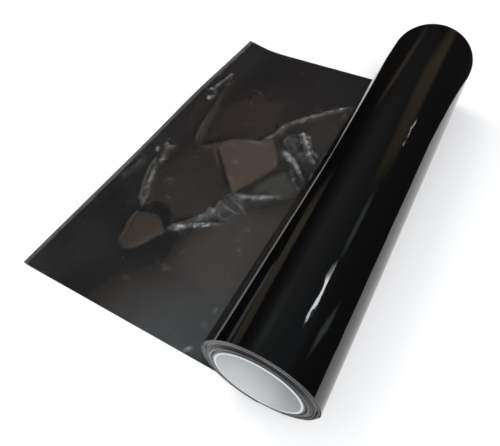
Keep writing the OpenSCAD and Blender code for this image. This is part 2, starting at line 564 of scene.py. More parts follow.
def bendWithTail(piece):
    # all of the bend is beyond the line: on the roll's side of it the web would dip into the table
    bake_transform(piece, "outer_turn", "tail", start=(liftX, 0, tableZ), end=(liftX - web["bendReach"], 0, tableZ))


def makeFilm():
    bm = growWeb(**web["filmGrid"])
    shapeWeb(bm, 0)
    faceOutwards(bm)
    film = finishPiece("vinylFilm", bm, blackFilm)
    addThickness(film, filmThick)
    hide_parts("outer_turn_film", "tail_film")
    bendWithTail(film)


makeFilm()
print("film made")


# Where the liner has come off the adhesive. Paths and outlines are in mm on the tail: x from the
# roll's axis, y along it. A ridge has half its width, its height in mm, how much painted reflection
# it puts on the adhesive under it ("paintedLight", painted shade below 0), how white its creases are,
# partly real haze and partly a painted highlight ("frostAndGlint"), and how crumpled it is beside them
# ("folds"). "taper" is the share of its width left at its end, "frostAndGlintEnds" scales that white
# at its start and end, and a "sharp" one has a crest, not a round top.
ridges = {
    "veeRight": {
        "path": [(-236, 2), (-220, 10), (-203, 26), (-187, 42), (-170, 47), (-157, 52), (-150, 68),
                 (-145, 92), (-138, 105), (-122, 130), (-108, 146), (-95, 160), (-70, 186)],
        "half": 5.0, "height": 2.2, "paintedLight": 0.4, "frostAndGlint": 0.36, "frostAndGlintEnds": (0.1, 1.2), "folds": 0.8,
    },
    "veeLeft": {
        "path": [(-236, 2), (-240, 20), (-248, 50), (-257, 90), (-265, 125), (-274, 160), (-277, 186)],
        "half": 5.0, "height": 1.4, "paintedLight": 0.2, "frostAndGlint": 0.03, "folds": 0.25,
    },
    "crease": {
        "path": [(-206, 18), (-190, -1), (-180, -12), (-165, -29), (-148, -47)],
        "half": 2.0, "height": 1.2, "paintedLight": -0.75, "frostAndGlint": 0, "folds": 0,
    },
    "creaseLight": {
        "path": [(-210, 14), (-196, -2), (-184, -17)],
        "half": 3.0, "height": 1.0, "paintedLight": 0.5, "frostAndGlint": 0.05, "folds": 0.2, "sharp": True,
    },
    "upperFold": {
        "path": [(-118, 98), (-112, 88), (-104, 80), (-96, 70), (-88, 57), (-74, 45)],
        "half": 6.0, "taper": 0.5, "height": 3.2, "paintedLight": 0.35, "frostAndGlint": 1.0, "frostAndGlintEnds": (1.0, 0.35),
        "folds": 1.0, "sharp": True,
    },
    "upperFoldTwin": {
        "path": [(-108, 98), (-100, 84), (-90, 68), (-76, 58)],
        "half": 2.6, "height": 1.6, "paintedLight": 0.1, "frostAndGlint": 0.45, "folds": 0.8, "sharp": True,
    },
    "foldBetween": {
        "path": [(-134, 78), (-120, 70), (-106, 58), (-92, 48)],
        "half": 7.0, "taper": 0.4, "height": 1.4, "paintedLight": 0.15, "frostAndGlint": 0.16, "folds": 0.9, "sharp": True,
    },
    "middleFold": {
        "path": [(-126, 50), (-112, 44), (-100, 37), (-90, 27), (-74, 10)],
        "half": 5.6, "taper": 0.45, "height": 3.2, "paintedLight": 0.4, "frostAndGlint": 1.0, "frostAndGlintEnds": (1.4, 0.2),
        "folds": 1.0, "sharp": True,
    },
    "middleFoldTwin": {
        "path": [(-104, 30), (-96, 18), (-86, 6), (-74, -6)],
        "half": 2.8, "height": 1.5, "paintedLight": 0.2, "frostAndGlint": 0.3, "folds": 1.0, "sharp": True,
    },
    "lowerFold": {
        "path": [(-148, -47), (-132, -46), (-120, -43), (-103, -33), (-74, -16)],
        "half": 7.0, "taper": 0.5, "height": 2.2, "paintedLight": 0.3, "frostAndGlint": 0.36, "frostAndGlintEnds": (1.3, 0.3),
        "folds": 0.9,
    },
    "cellBorder": {
        "path": [(-146, 66), (-124, 37), (-117, 20), (-125, 0), (-133, -20), (-147, -45)],
        "half": 5.0, "height": 0.7, "paintedLight": -0.25, "folds": 0.15, "frostAndGlint": 0.0,
    },
    "spikeUpper": {
        "path": [(-150, -50), (-138, -56), (-121, -64)],
        "half": 3.4, "taper": 0.5, "height": 1.5, "paintedLight": 0.15, "frostAndGlint": 0.14, "folds": 1.0, "sharp": True,
    },
    "spikeMiddle": {
        "path": [(-156, -64), (-143, -70), (-126, -74)],
        "half": 3.2, "taper": 0.5, "height": 1.5, "paintedLight": 0.15, "frostAndGlint": 0.16, "folds": 1.0, "sharp": True,
    },
    "spikeLower": {
        "path": [(-162, -80), (-146, -85), (-126, -88)],
        "half": 3.4, "taper": 0.5, "height": 1.6, "paintedLight": 0.15, "frostAndGlint": 0.2, "folds": 1.0, "sharp": True,
    },
    "runOut": {
        "path": [(-184, -131), (-176, -123), (-160, -112), (-146, -102), (-124, -92)],
        "half": 5.0, "taper": 0.4, "height": 2.4, "paintedLight": 0.25, "frostAndGlint": 0.8, "frostAndGlintEnds": (1.5, 0.0),
        "folds": 1.0, "sharp": True,
    },
    "runOutTwin": {
        "path": [(-181, -123), (-168, -108), (-158, -94), (-151, -80), (-147, -64)],
        "half": 3.4, "height": 1.4, "paintedLight": 0.1, "frostAndGlint": 0.3, "frostAndGlintEnds": (1.0, 0.1), "folds": 0.9,
        "sharp": True,
    },
    "runOutGroove": {
        "path": [(-140, -90), (-152, -100), (-172, -118)],
        "half": 2.6, "height": -0.2, "paintedLight": -0.5, "frostAndGlint": 0.0,
    },
    "archBand": {
        "path": [(-234, -113), (-222, -108), (-208, -108), (-194, -116), (-184, -130)],
        "half": 4.4, "height": 0.9, "paintedLight": -0.7, "folds": 0.9, "frostAndGlint": 0.0,
    },
    "leftRun": {
        "path": [(-232, -118), (-238, -103), (-248, -85), (-259, -60), (-262, -37), (-266, -15), (-274, 3)],
        "half": 3.0, "height": 1.6, "paintedLight": 0.1, "frostAndGlint": 0.34, "frostAndGlintEnds": (1.4, 0.1), "folds": 0.7,
        "sharp": True,
    },
    "leftRunTwin": {
        "path": [(-270, -30), (-266, -58), (-256, -82), (-246, -100), (-238, -113)],
        "half": 2.4, "height": 1.0, "paintedLight": 0.1, "frostAndGlint": 0.1, "folds": 0.5, "sharp": True,
    },
    "tongueLeft": {"path": [(-233, -118), (-230, -145), (-224, -168), (-214, -178)], "half": 2.6,
                   "height": 0.5,
                   "paintedLight": -0.06, "folds": 0, "frostAndGlint": 0.0},
    "tongueRight": {"path": [(-186, -132), (-196, -153), (-206, -172), (-214, -178)], "half": 3.0,
                    "height": 0.6,
                    "paintedLight": 0.06, "folds": 0.2, "frostAndGlint": 0.04},
    "edgeHook": {
        "path": [(-277, 172), (-280, 145), (-283, 124), (-292, 115)],
        "half": 2.8, "height": 2.2, "paintedLight": 0.3, "frostAndGlint": 0.6, "folds": 0.8, "sharp": True,
    },
    "edgeHookFoot": {"path": [(-284, 124), (-276, 118), (-270, 104)], "half": 3.0, "height": 1.0,
                     "paintedLight": 0.18,
                     "frostAndGlint": 0.2, "sharp": True},
    "edgeBlob": {
        "path": [(-276, 109), (-275, 98)],
        "half": 4.0, "height": 2.2, "paintedLight": 0.3, "folds": 0.8, "frostAndGlint": 0.9,
    },
    "edgeShadow": {
        "path": [(-284, 95), (-278, 60), (-272, 25)],
        "half": 8.0, "height": 0.8, "paintedLight": 0.09, "folds": 0.5, "frostAndGlint": 0.0,
    },
    "sideLoop": {"path": [(-280, 2), (-274, -8), (-270, -18), (-264, -14), (-263, -3)], "half": 3.2,
                 "height": 1.3, "paintedLight": 0.24, "frostAndGlint": 0.2, "folds": 0.8, "sharp": True},
    "sidePick": {
        "path": [(-282, -21), (-277, -29)],
        "half": 2.6, "height": 1.3, "paintedLight": 0.36, "frostAndGlint": 0.9, "sharp": True,
    },
    "sideSpot": {"path": [(-263, -35), (-260, -39)], "half": 2.2, "height": 1.3, "paintedLight": 0.36, "frostAndGlint": 0.9},
    "sideFlick": {
        "path": [(-283, -48), (-286, -70), (-289, -92)],
        "half": 3.0, "height": 0.9, "paintedLight": 0.18, "folds": 0.6, "frostAndGlint": 0.12,
    },
    "nearBlob": {"path": [(-83, -238), (-81, -245)], "half": 4.5, "height": 0.8, "paintedLight": 0.3},
    "smallBlob": {"path": [(-81, -190), (-79, -196)], "half": 3.0, "height": 0.6, "paintedLight": 0.18},
}
# Patches where the liner stands off flat: outline, how soft its border is and its height in mm,
# how much painted reflection the adhesive gets, how cool that painted reflection is and how white
# the liner is there, partly a painted highlight.
patches = {
    "cell": {
        "outline": [(-206, 17), (-196, 33), (-176, 41), (-160, 50), (-146, 66), (-124, 37), (-117, 20),
                    (-125, 0), (-134, -21), (-148, -46), (-180, -12)],
        "soft": 3, "height": 1.0, "paintedLight": 1.0,
    },
    "field": {
        "outline": [(-236, 0), (-206, 16), (-180, -13), (-149, -48), (-158, -90), (-186, -118), (-208, -106),
                    (-232, -110), (-250, -80), (-258, -40)],
        "soft": 9, "height": 0.5, "paintedLight": 0.24,
    },
    "tongue": {
        "outline": [(-232, -128), (-222, -121), (-207, -120), (-196, -127), (-187, -137), (-205, -172),
                    (-214, -178), (-222, -172)],
        "soft": 2.5, "height": 0.7, "paintedLight": 0.6,
    },
    "blueCell": {
        "outline": [(-128, -20), (-118, 2), (-104, 18), (-84, 0), (-76, -12), (-103, -31), (-126, -38)],
        "soft": 6, "height": 0.8, "paintedLight": 0.62, "reflectionCool": 0.8,
    },
    "rightPlain": {
        "outline": [(-128, -72), (-112, -62), (-60, -36), (-60, -210), (-110, -194), (-152, -174),
                    (-156, -132),
                    (-140, -100)],
        "soft": 26, "height": 0.35, "paintedLight": 0.58, "reflectionCool": 0.3,
    },
    "runOutHaze": {
        "outline": [(-148, -48), (-120, -56), (-124, -90), (-150, -104), (-184, -131), (-166, -104),
                    (-156, -76)],
        "soft": 5, "height": 0.5, "paintedLight": 0.34, "reflectionCool": 0.9, "frostAndGlint": 0.05,
    },
    "foldHaze": {
        "outline": [(-138, 84), (-118, 100), (-100, 78), (-84, 52), (-96, 34), (-126, 48)],
        "soft": 8, "height": 0.4, "paintedLight": 0.18, "reflectionCool": 0.9, "frostAndGlint": 0.02,
    },
    "bottomRight": {
        "outline": [(-20, -170), (-20, -300), (-196, -300), (-176, -228), (-128, -176)],
        "soft": 62, "height": 0.2, "paintedLight": 0.75, "reflectionCool": 1.0,
    },
    "upperPlain": {
        "outline": [(-112, 140), (-70, 180), (-70, 60), (-98, 80), (-118, 105)],
        "soft": 10, "height": 0.5, "paintedLight": 0.3,
    },
    "leftStrip": {
        "outline": [(-262, 100), (-250, 40), (-244, -10), (-262, -40), (-275, -10), (-292, 40), (-290, 110)],
        "soft": 8, "height": 0.5, "paintedLight": 0.06,
    },
    "veeInside": {
        "outline": [(-234, 12), (-196, 42), (-160, 62), (-148, 105), (-172, 150), (-222, 150), (-250, 90)],
        "soft": 34, "height": 0.1, "paintedLight": 0.34,
    },
    "freeEdge": {
        "outline": [(-306, -260), (-306, 280), (-295, 280), (-296, 0), (-297, -260)],
        "soft": 1.6, "height": 0.2, "paintedLight": 1.0, "reflectionCool": 0.7, "frostAndGlint": 0.12,
    },
}
linerShape = {
    "contactGap": 0.02 * mm,     # air under the liner where it lies on the adhesive
    "stray": 1.4,                # how far a ridge wanders from its path, in mm
    "strayScale": 0.07,
    "uneven": 0.6,               # unevenness of a ridge's height
    "unevenScale": 0.16,
    "crumple": 0.55,             # small folds beside a ridge, in mm, and how many per mm
    "crumpleScale": (0.085, 0.21),
    "crumpleReach": 2.3,         # in half-widths of the ridge
    "rootFrom": -56,             # no lift nearer the roll than this
    "rootTo": -72,
    "seamX": -212 * mm,          # the two pieces of liner part at the row nearest to this
    "flapReach": 24 * mm,        # how far past the peel line the liner bends
    "flapGap": 0.05 * mm,        # more air under the strip that peels
    "tailEase": 60 * mm,         # over these lengths each gap opens
    "flapEase": 8 * mm,
    "fadeIn": (-0.02, 0.14),     # shares of its run over which a ridge rises and dies away
    "fadeOut": (1.02, 0.86),
    "sharpReach": 1.6,           # how wide a sharp ridge's foot is, in half-widths, and how steep it is
    "sharpPower": 1.35,
    "foldSteepness": 2.4,
    "foldShares": (0.62, 0.38),  # broad folds and fine ones
    "crestFrostAndGlint": (0.35, 1.3),   # white in a fold's valley, and how much more on its crest, partly a painted highlight
    # painted highlight on the crests of the small folds, painted shade in their valleys
    "crestHighlight": 0.35,
}


def nearestOnPath(x, y, path):
    best, bestRun, run = 1e9, 0, 0
    for (ax, ay), (bx, by) in zip(path, path[1:]):
        length = hypot(bx - ax, by - ay)
        t = ((x - ax) * (bx - ax) + (y - ay) * (by - ay)) / length ** 2
        t = min(max(t, 0), 1)
        away = hypot(x - ax - (bx - ax) * t, y - ay - (by - ay) * t)
        if away < best:
            best, bestRun = away, run + t * length
        run += length
    return best, bestRun / run


def insideOutline(x, y, outline):
    inside = False
    for (ax, ay), (bx, by) in zip(outline, outline[1:] + outline[:1]):
        if (ay > y) != (by > y) and x < ax + (bx - ax) * (y - ay) / (by - ay):
            inside = not inside
    return inside


def boxOf(points, margin):
    xs = [p[0] for p in points]
    ys = [p[1] for p in points]
    return min(xs) - margin, max(xs) + margin, min(ys) - margin, max(ys) + margin


for ridge in ridges.values():
    ridge["box"] = boxOf(ridge["path"], 3 * ridge["half"])
for patch in patches.values():
    patch["box"] = boxOf(patch["outline"], 2 * patch["soft"])
    patch["loop"] = patch["outline"] + patch["outline"][:1]


def smallFolds(x, y):
    # sharp-topped folds, from 0 in the valleys to 1 on the crests
    wide, fine = linerShape["crumpleScale"]
    steepness = linerShape["foldSteepness"]
    broad = 1 - min(1, steepness * abs(noise.noise((x * wide, y * wide, 11.3))))
    small = 1 - min(1, steepness * abs(noise.noise((x * fine, y * fine, 5.9))))
    broadShare, smallShare = linerShape["foldShares"]
    return broadShare * broad + smallShare * small


def linerOff(x, y):
    # how far the liner stands off at a place on the tail, in mm, how much painted reflection the
    # adhesive gets there and how cool it is, and how white the liner is, partly a painted highlight
    height, paintedLight, reflectionCool, frostAndGlint, folded = 0, 0, 0, 0, 0
    scale = linerShape["strayScale"]
    sx = x + linerShape["stray"] * noise.noise((x * scale, y * scale, 2.2))
    sy = y + linerShape["stray"] * noise.noise((x * scale, y * scale, 7.7))
    for patch in patches.values():
        left, right, low, high = patch["box"]
        if left < sx < right and low < sy < high:
            edge = nearestOnPath(sx, sy, patch["loop"])[0]
            signed = edge if insideOutline(sx, sy, patch["outline"]) else -edge
            share = smoothStep(-patch["soft"], patch["soft"], signed)
            height = max(height, patch["height"] * share)
            # painted reflection over the patch
            paintedLight = max(paintedLight, patch["paintedLight"] * share)
            reflectionCool = max(reflectionCool, patch.get("reflectionCool", 0) * share)
            frostAndGlint = max(frostAndGlint, patch.get("frostAndGlint", 0) * share)
    for ridge in ridges.values():
        left, right, low, high = ridge["box"]
        if not (left < sx < right and low < sy < high):
            continue
        away, run = nearestOnPath(sx, sy, ridge["path"])
        if away > 3 * ridge["half"]:
            continue
        ends = smoothStep(*linerShape["fadeIn"], run) * smoothStep(*linerShape["fadeOut"], run)
        uneven = 1 + linerShape["uneven"] * noise.noise((sx * linerShape["unevenScale"],
                                                         sy * linerShape["unevenScale"], 4.4))
        half = ridge["half"] * (1 - (1 - ridge.get("taper", 1)) * run)
        if ridge.get("sharp"):
            profile = max(0, 1 - away / (linerShape["sharpReach"] * half)) ** linerShape["sharpPower"]
        else:
            profile = exp(-(away / half) ** 2)
        height += ridge["height"] * profile * ends * uneven
        # painted reflection along the ridge, painted shade where its value is below 0
        paintedLight += ridge["paintedLight"] * profile * ends
        frostStart, frostEnd = ridge.get("frostAndGlintEnds", (1, 1))
        whiteness = max(0, ridge.get("frostAndGlint", 0.2) * (frostStart + (frostEnd - frostStart) * run))
        frostAndGlint += whiteness * profile * profile * ends * uneven
        beside = exp(-(away / (linerShape["crumpleReach"] * ridge["half"])) ** 2) * ends
        folded = max(folded, beside * ridge.get("folds", 0.5))
    if folded > 0:
        crease = smallFolds(sx, sy)
        height += linerShape["crumple"] * folded * crease
        # more white on the crests of the small folds: partly a painted highlight
        valley, crest = linerShape["crestFrostAndGlint"]
        frostAndGlint *= valley + crest * crease * crease
        # painted highlight on the crests of the small folds, painted shade in their valleys
        paintedLight += linerShape["crestHighlight"] * folded * (crease - 0.5)
    root = smoothStep(linerShape["rootFrom"], linerShape["rootTo"], x)
    return max(height, 0) * root, min(max(paintedLight, 0), 1) * root, reflectionCool, min(frostAndGlint, 1) * root


def growLinerGrid():
    # every vertex keeps how far the liner stands off there, how much painted reflection the
    # adhesive gets and how cool it is, and how white the liner is, partly a painted highlight
    bm = growWeb(**web["linerGrid"])
    along = bm.verts.layers.float["along"]
    lift = bm.verts.layers.float.new("lift")
    paintedReflection = bm.verts.layers.float.new("paintedReflection")
    paintedReflectionCool = bm.verts.layers.float.new("paintedReflectionCool")
    frostedAndGlinting = bm.verts.layers.float.new("frostedAndGlinting")
    for vert in bm.verts:
        s = vert[along]
        if s > turnLength:
            y = vert.co.y + webDrift(s)
            height, vert[paintedReflection], vert[paintedReflectionCool], vert[frostedAndGlinting] = linerOff((turnLength - s) / mm, y / mm)
            onTail = smoothStep(turnLength, turnLength + linerShape["tailEase"], s)
            peelAt = turnLength + flatLength
            onFlap = smoothStep(peelAt - linerShape["flapEase"], peelAt, s)
            vert[lift] = height * mm + linerShape["contactGap"] * onTail + linerShape["flapGap"] * onFlap
    return bm


def keepStretch(bm, keepFrom, keepTo):
    along = bm.verts.layers.float["along"]
    slack = 0.1 * mm
    away = [f for f in bm.faces if not all(keepFrom - slack < v[along] < keepTo + slack for v in f.verts)]
    bmesh.ops.delete(bm, geom=away, context="FACES")


def makeAdhesive():
    bm = linerGrid.copy()
    shapeWeb(bm, filmThick)
    faceOutwards(bm)
    coat = finishPiece("adhesiveLayer", bm, adhesiveCoat)
    addThickness(coat, adhesiveThick)
    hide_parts("outer_turn_adhesive", "tail_adhesive")
    bendWithTail(coat)


def makeLiner():
    whole = linerGrid.copy()
    shapeWeb(whole, filmThick + adhesiveThick, whole.verts.layers.float["lift"])
    faceOutwards(whole)
    tailStep = web["linerGrid"]["tailStep"]
    rowStep = flatLength / round(flatLength / tailStep)
    seam = turnLength + round(-linerShape["seamX"] / rowStep) * rowStep
    end = turnLength + tailLength

    stretch = whole.copy()
    keepStretch(stretch, 0, seam)
    mainLiner = finishPiece("releaseLiner", stretch, clearLiner)
    addThickness(mainLiner, linerThick)
    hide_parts("outer_turn_liner", "tail_liner")
    bendWithTail(mainLiner)

    keepStretch(whole, seam, end)
    flap = finishPiece("linerPeelEdge", whole, clearLiner)
    addThickness(flap, linerThick)
    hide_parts("liner_edge")
    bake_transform(flap, "tail", "liner_flap", start=(peelX, 0, tableZ),
             end=(peelX - linerShape["flapReach"], 0, tableZ))


linerGrid = growLinerGrid()
makeAdhesive()
print("adhesive made")
makeLiner()
print("liner made")


# The tight turns, band by band from the core. A few turns at each band's outer edge lie deeper,
# which leaves the dark lines on the wound end.
wound = {
    "segments": 144,
    "wander": 0.16 * mm,         # how far the turns' edges are out of line
    "gapDepth": 3 * mm,
    "gapTurns": (1, 1, 1, 1, 2, 1),
    "tones": (0.22, 0.17, 0.24, 0.20, 0.26, 0.24),
    "tint": (1.0, 0.985, 1.0),
    "bandGap": 0.05 * mm,
    "wanderSteps": (7.3, 0.83),  # from band to band and from turn to turn
    # each turn is a step out and a small dip before the next one: share of its pitch, and depth
    "turnProfile": ((0, 0.05 * mm), (0.12, 0), (0.45, 0), (0.55, 0.04 * mm)),
}


def toneColor(tone):
    return [tone * part for part in wound["tint"]]


def spinProfile(bm, points, segments):
    verts = [bm.verts.new(p) for p in points]
    edges = [bm.edges.new((verts[i], verts[(i + 1) % len(verts)])) for i in range(len(verts))]
    bmesh.ops.spin(bm, geom=verts + edges, cent=(0, 0, 0), axis=(0, 1, 0), dvec=(0, 0, 0),
                   angle=2 * pi, steps=segments, use_merge=True)
    bmesh.ops.remove_doubles(bm, verts=list(bm.verts), dist=1e-7)
    bmesh.ops.recalc_face_normals(bm, faces=list(bm.faces))


bandCount = len(wound["tones"])
bandOuter = [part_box("wound_band_" + str(i + 1))[1].x for i in range(bandCount)]
bandInner = [coreHigh.x + wound["bandGap"]] + [r + wound["bandGap"] for r in bandOuter[:-1]]


def makeBand(index):
    node = "wound_band_" + str(index + 1)
    low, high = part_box(node)
    inner, outer = bandInner[index], bandOuter[index]
    turns = round((outer - inner) / webThick)
    pitch = (outer - inner) / turns
    bandStep, turnStep = wound["wanderSteps"]
    nearSide, farSide = [], []
    for k in range(turns):
        back = abs(wound["wander"] * noise.noise((index * bandStep + k * turnStep, 1.7, 0.4)))
        if turns - k <= wound["gapTurns"][index]:
            back += wound["gapDepth"]
        for share, dip in wound["turnProfile"]:
            nearSide.append((inner + (k + share) * pitch, low.y + back + dip, 0))
            farSide.append((inner + (k + share) * pitch, high.y - back - dip, 0))
    nearSide.append((outer, nearSide[-1][1], 0))
    farSide.append((outer, farSide[-1][1], 0))
    bm = bmesh.new()
    spinProfile(bm, nearSide + farSide[::-1], wound["segments"])
    material = makeWoundMaterial("woundEdges" + str(index + 1), toneColor(wound["tones"][index]))
    band = finishPiece("woundBand" + str(index + 1), bm, material)
    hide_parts(node)
    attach(band, "roll")


for bandIndex in range(bandCount):
    makeBand(bandIndex)
print("wound bands made")

loose = {
    "turns": 4,
    "stepsPerTurn": 120,
    "clearance": 0.06 * mm,
    "gaps": (0.7, 0.35, 0.5, 0.15),   # share of the free room under each turn, core outwards
    "tone": 0.3,
    "wander": 0.25 * mm,
    "wanderScale": 40,
    "stepFrom": 0.55,            # share of a turn after which it climbs to the next radius
}


def makeLooseTurns():
    bm = bmesh.new()
    inner = bandOuter[-1] + loose["clearance"]
    outer = looseHigh.x - loose["clearance"]
    room = outer - inner - loose["turns"] * webThick
    radii = []
    reach = inner
    for gap in loose["gaps"]:
        reach += room * gap / sum(loose["gaps"]) + webThick
        radii.append(reach)
    steps = loose["stepsPerTurn"] * loose["turns"]
    start = [bm.verts.new((0, y, -radii[0])) for y in (looseLow.y, looseHigh.y)]
    edges = [bm.edges.new(start)]
    for step in range(1, steps + 1):
        turn = step / loose["stepsPerTurn"]
        index = min(int(turn), loose["turns"] - 1)
        following = min(index + 1, loose["turns"] - 1)
        radius = radii[index] + (radii[following] - radii[index]) * smoothStep(loose["stepFrom"], 1,
                                                                               turn - index)
        grown = bmesh.ops.extrude_edge_only(bm, edges=edges)["geom"]
        verts = onlyVerts(grown)
        for vert in verts:
            vert.co.x = -radius * sin(2 * pi * turn)
            vert.co.z = -radius * cos(2 * pi * turn)
        rim = set(verts)
        edges = [e for e in onlyEdges(grown) if e.verts[0] in rim and e.verts[1] in rim]
    for vert in bm.verts:
        place = (vert.co.x * loose["wanderScale"], vert.co.z * loose["wanderScale"], 6.2)
        wander = abs(loose["wander"] * noise.noise(place))
        vert.co.y += wander if vert.co.y < 0 else -wander
    faceOutwards(bm)
    material = makeWoundMaterial("woundEdgesLoose", toneColor(loose["tone"]))
    turns = finishPiece("looseTurns", bm, material)
    addThickness(turns, webThick)
    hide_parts("loose_turns_web")
    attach(turns, "roll")


makeLooseTurns()
print("loose turns made")

core = {"segments": 180, "rounding": 0.35 * mm, "roundSteps": 4}
boreRadius = frame["record"]["mounts"][0]["dims"]["r_mm"] * mm


def roundCorner(x, y, fromAngle, radius, steps):
    # a quarter circle of profile points about (x, y)
    angles = [fromAngle - pi / 2 * i / steps for i in range(steps + 1)]
    return [(x + radius * cos(a), y + radius * sin(a), 0) for a in angles]


def makeCore():
    r = core["rounding"]
    steps = core["roundSteps"]
    points = roundCorner(boreRadius + r, coreLow.y + r, -pi / 2, r, steps)
    points += roundCorner(boreRadius + r, coreHigh.y - r, pi, r, steps)
    points += roundCorner(coreHigh.x - r, coreHigh.y - r, pi / 2, r, steps)
    points += roundCorner(coreHigh.x - r, coreLow.y + r, 0, r, steps)
    bm = bmesh.new()
    spinProfile(bm, points, core["segments"])
    piece = finishPiece("coreTube", bm, corePlastic)
    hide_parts("core_tube")
    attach(piece, "roll")


makeCore()
tape = frame["nodes"]["start_tape"]
tape.data.materials.clear()
tape.data.materials.append(startTape)
print("core made")


# A pale table and soft lamps for the eye. For the gloss there is a dim room with a dozen panels,
# most of them faint and a few bright, which show only where something glossy mirrors them.
studio = {
    "floorSize": 8.0,
    "floorColor": (0.9, 0.9, 0.9),
    "floorRoughness": 0.6,
    "floorSpecular": 0.2,
    "floorGap": 0.06 * mm,       # below the object, so that no two faces lie in one plane
    "tableGap": 0.03 * mm,
    "worldColor": (0.96, 0.97, 1.0),
    "worldStrength": 0.62,
    "lampSize": 1.4,
    "keyPlace": (0.7, -1.0, 1.6),
    "keyEnergy": 30,
    "fillPlace": (-1.4, 0.6, 1.5),
    "fillEnergy": 18,
    "roomRadius": 1.4,
    "roomSegments": (64, 32),
    "middleAt": 0.62,            # share of its height at which the room has its middle tone
    "roomLow": (0.016, 0.015, 0.014),
    "roomMiddle": (0.045, 0.042, 0.041),
    "roomTop": (0.11, 0.145, 0.15),
    "patchPlace": (-0.42, 0.66, 1.14),   # a paler part of the ceiling
    "patchReach": 0.92,
    "patchGlow": (0.22, 0.2, 0.185),
    "darkSide": (-0.88, -0.45),          # the room is darkest beyond this, towards -X
    "darkest": 0.12,
    "tableLow": (-0.46, -0.7),
    "tableHigh": (0.25, 0.33),
}
# From one end of a panel to the other and its width, in metres, the share of it that its soft
# borders take up, and its glow.
panels = {
    "ceilingBrown": {"from": (0.11, 1.24, 0.52), "to": (0.54, 0.84, 0.84), "width": 0.46, "soft": 0.45,
                     "glow": (0.24, 0.19, 0.125)},
    "ceilingGrey": {"from": (0.54, 0.86, 0.82), "to": (0.67, 0.60, 0.96), "width": 0.18, "soft": 0.6,
                    "glow": (0.44, 0.54, 0.44)},
    "ceilingGreen": {"from": (1.18, 0.46, 0.34), "to": (1.09, 0.30, 0.66), "width": 0.14, "soft": 0.6,
                     "glow": (0.5, 0.62, 0.54)},
    "windowRight": {"from": (0.42, 0.54, 1.16), "to": (0.98, 0.20, 0.90), "width": 0.34, "soft": 0.8,
                    "glow": (0.09, 0.11, 0.12)},
    "lampRight": {"from": (0.57, 0.57, 1.03), "to": (0.69, 0.37, 1.04), "width": 0.10, "soft": 0.4,
                  "glow": (15.0, 15.3, 15.8)},
    "lampFar": {"from": (0.56, 1.05, 0.56), "to": (0.60, 1.00, 0.62), "width": 0.035, "soft": 0.5,
                "glow": (4.0, 4.0, 4.0)},
    "lampBehind": {"from": (-0.14, -0.34, 1.22), "to": (0.36, -0.34, 1.2), "width": 0.42, "soft": 0.6,
                   "glow": (3.6, 3.8, 4.2)},
    "wallBrown": {"from": (-0.98, 0.86, 0.30), "to": (-1.06, -0.02, 0.80), "width": 0.36, "soft": 0.5,
                  "glow": (0.38, 0.32, 0.24)},
    "wallRed": {"from": (-0.36, 1.20, 0.40), "to": (-0.68, 1.02, 0.42), "width": 0.18, "soft": 0.7,
                "glow": (0.22, 0.16, 0.11)},
    "windowLeft": {"from": (-0.66, 1.26, 0.16), "to": (-0.2, 1.38, 0.2), "width": 0.12, "soft": 0.4,
                   "glow": (1.6, 1.65, 1.75)},
    "wallLeft": {"from": (-1.28, 0.1, 0.46), "to": (-1.22, 0.6, 0.36), "width": 0.2, "soft": 0.5,
                 "glow": (0.5, 0.52, 0.58)},
    "ceilingTeal": {"from": (-0.62, 0.30, 1.14), "to": (-0.20, 0.30, 1.26), "width": 0.46, "soft": 1.0,
                    "glow": (0.28, 0.38, 0.35)},
}


def addStage(name, bm, material):
    mesh = bpy.data.meshes.new(name)
    bm.to_mesh(mesh)
    bm.free()
    mesh.materials.append(material)
    piece = bpy.data.objects.new(name, mesh)
    bpy.context.scene.collection.objects.link(piece)
    return piece


def makeFloor():
    paper, shader = newMaterial("floorPaper", studio["floorColor"], studio["floorRoughness"])
    shader.inputs["Specular IOR Level"].default_value = studio["floorSpecular"]
    wide = bmesh.new()
    bmesh.ops.create_grid(wide, x_segments=1, y_segments=1, size=studio["floorSize"] / 2)
    bmesh.ops.translate(wide, verts=list(wide.verts), vec=(0, 0, tableZ - studio["floorGap"]))
    floor = addStage("studioFloor", wide, paper)
    floor.visible_glossy = False      # only the table below the object shows in its gloss
    lowX, lowY = studio["tableLow"]
    highX, highY = studio["tableHigh"]
    top = bmesh.new()
    bmesh.ops.create_grid(top, x_segments=1, y_segments=1, size=0.5)
    bmesh.ops.scale(top, verts=list(top.verts), vec=(highX - lowX, highY - lowY, 1))
    middle = ((lowX + highX) / 2, (lowY + highY) / 2, tableZ - studio["tableGap"])
    bmesh.ops.translate(top, verts=list(top.verts), vec=middle)
    addStage("studioTable", top, paper)


def makeWorld():
    world = bpy.data.worlds.new("studioWorld")
    bpy.context.scene.world = world
    world.use_nodes = True
    background = world.node_tree.nodes["Background"]
    background.inputs["Color"].default_value = (*studio["worldColor"], 1)
    background.inputs["Strength"].default_value = studio["worldStrength"]


def addAreaLight(name, place, energy):
    light = bpy.data.lights.new(name, "AREA")
    light.shape = "SQUARE"
    light.size = studio["lampSize"]
    light.energy = energy
    lamp = bpy.data.objects.new(name, light)
    bpy.context.scene.collection.objects.link(lamp)
    lamp.location = place
    lamp.rotation_euler = Vector(place).to_track_quat("Z", "Y").to_euler()
    lamp.visible_glossy = False


def softShare(material, value, soft):
    # 1 in the middle of a side that runs from 0 to 1, falling to 0 at its ends
    centred = addNode(material, "ShaderNodeMath", operation="SUBTRACT")
    join(material, value, centred.inputs[0])
    centred.inputs[1].default_value = 0.5
    away = addNode(material, "ShaderNodeMath", operation="ABSOLUTE")
    join(material, centred.outputs["Value"], away.inputs[0])
    return spread(material, away.outputs["Value"], 1, 0, 0.5 - soft / 2, 0.5)


